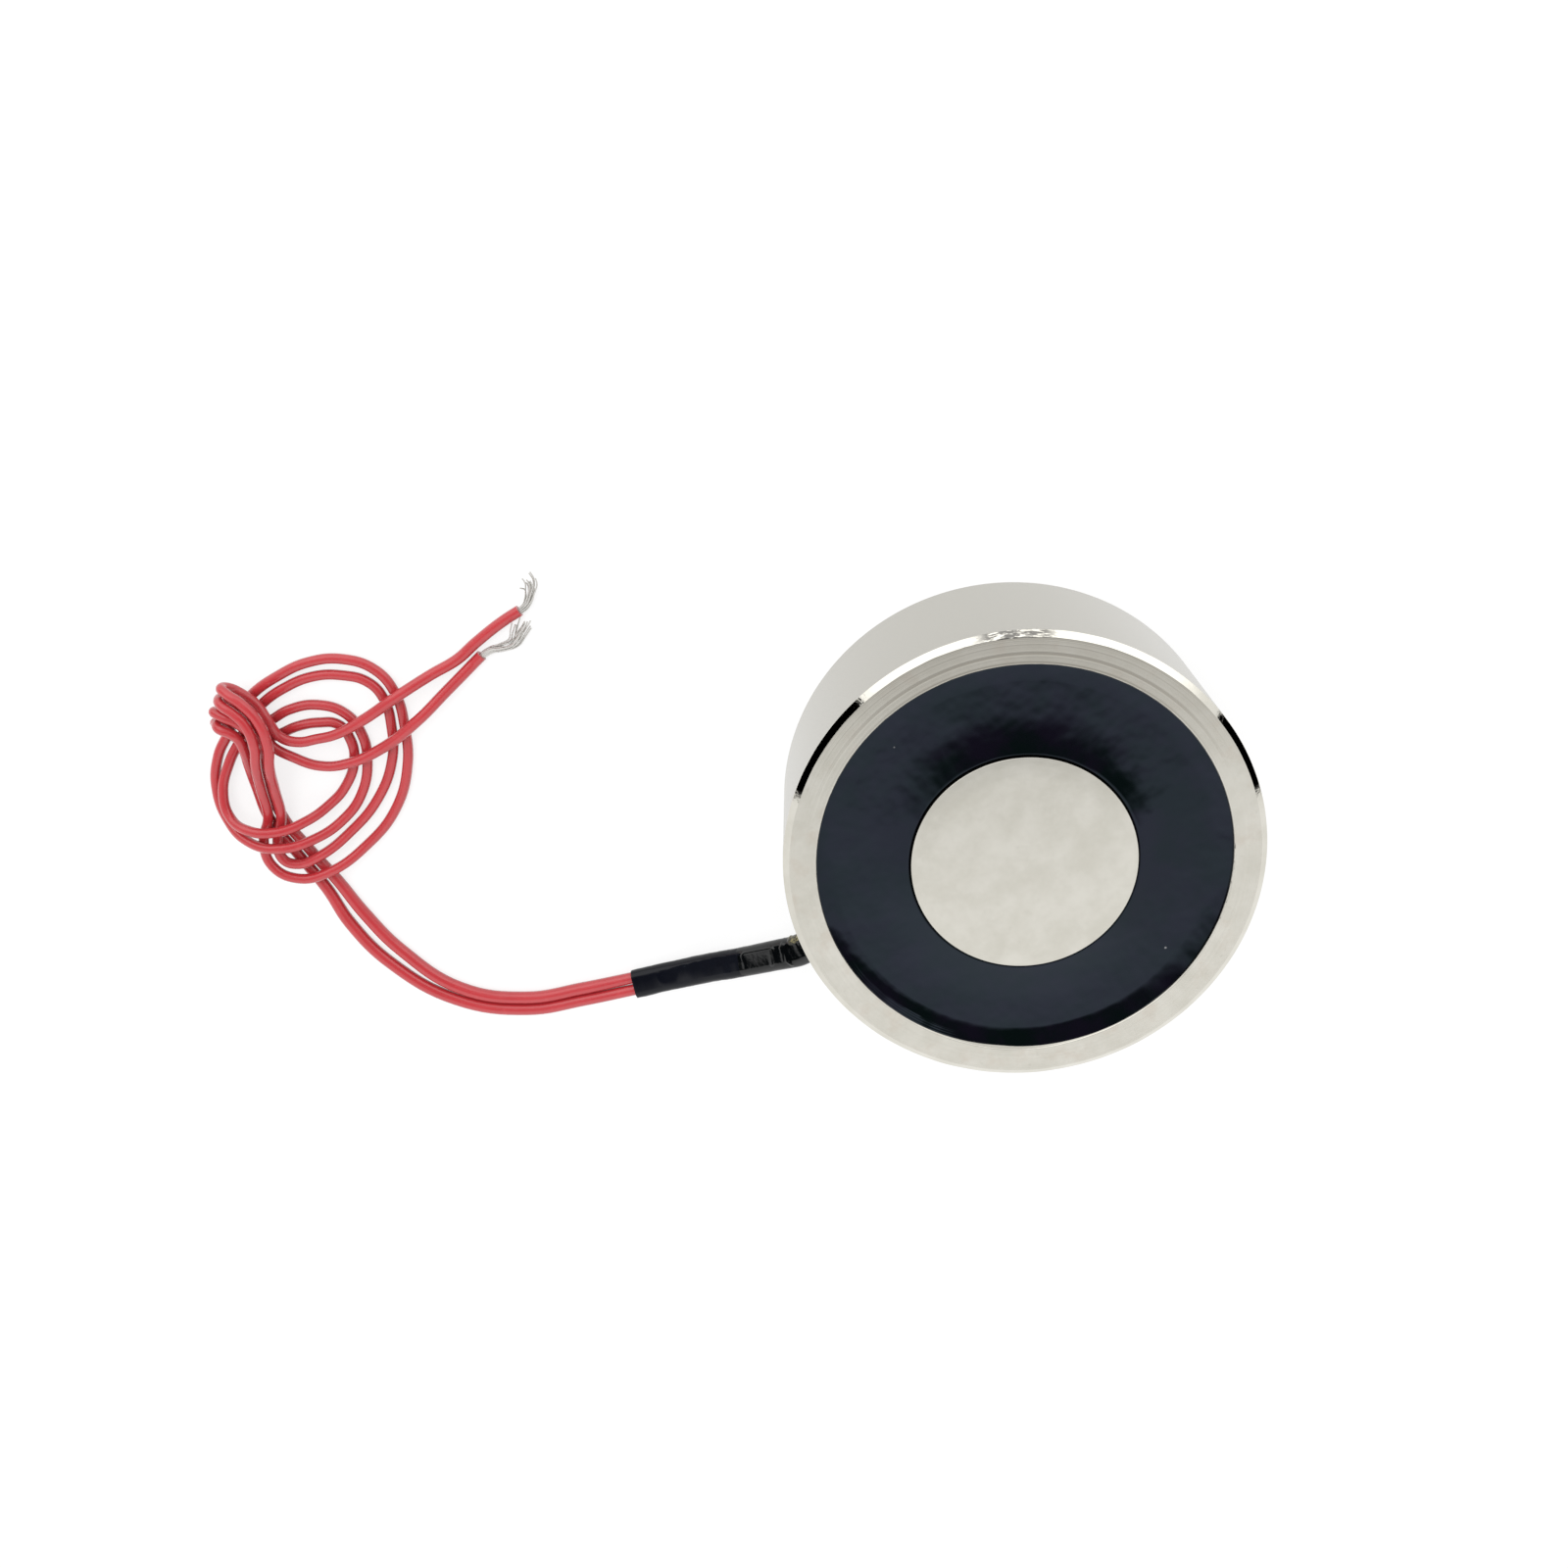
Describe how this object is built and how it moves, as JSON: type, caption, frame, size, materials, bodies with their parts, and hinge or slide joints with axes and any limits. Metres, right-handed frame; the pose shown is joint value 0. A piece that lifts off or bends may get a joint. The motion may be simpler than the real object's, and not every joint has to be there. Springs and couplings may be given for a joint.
{
  "type": "holding electromagnet",
  "caption": "Round pot-type holding electromagnet: steel pot and core with a resin-cast coil, a flat holding face, a tapped hole in the back and flying leads from the side.",
  "frame": {"origin": "centre of the back, on the surface that it rests on", "axes": "+Z out of the holding face along the pot's axis, +X from the axis through the lead exit in the side wall"},
  "size_m": [0.1, 0.0867, 0.02],
  "materials": {
    "plated_steel": "turned soft iron, bright nickel plated",
    "bobbin_nylon": "moulded nylon",
    "enamelled_copper": "enamelled copper wire",
    "polyester_tape": "polyester film tape",
    "solder": "soft solder",
    "joint_sleeving": "insulating sleeving",
    "black_resin": "cast epoxy resin, glossy black",
    "black_glue": "set glue, glossy black",
    "heat_shrink": "black heat-shrink tubing",
    "red_pvc": "red PVC insulation over stranded copper",
    "tinned_copper": "tinned copper strands"
  },
  "bodies": {
    "root": {"pot_shell": "plated_steel", "bobbin": "bobbin_nylon", "coil_winding": "enamelled_copper", "coil_tape": "polyester_tape", "splice_a": "solder", "splice_b": "solder", "splice_sleeve_a": "joint_sleeving", "splice_sleeve_b": "joint_sleeving", "potting_resin": "black_resin", "exit_seal": "black_glue", "lead_sleeve": "heat_shrink", "lead_wire_a": "red_pvc", "lead_wire_b": "red_pvc", "strands_a": "tinned_copper", "strands_b": "tinned_copper"}
  },
  "joints": []
}
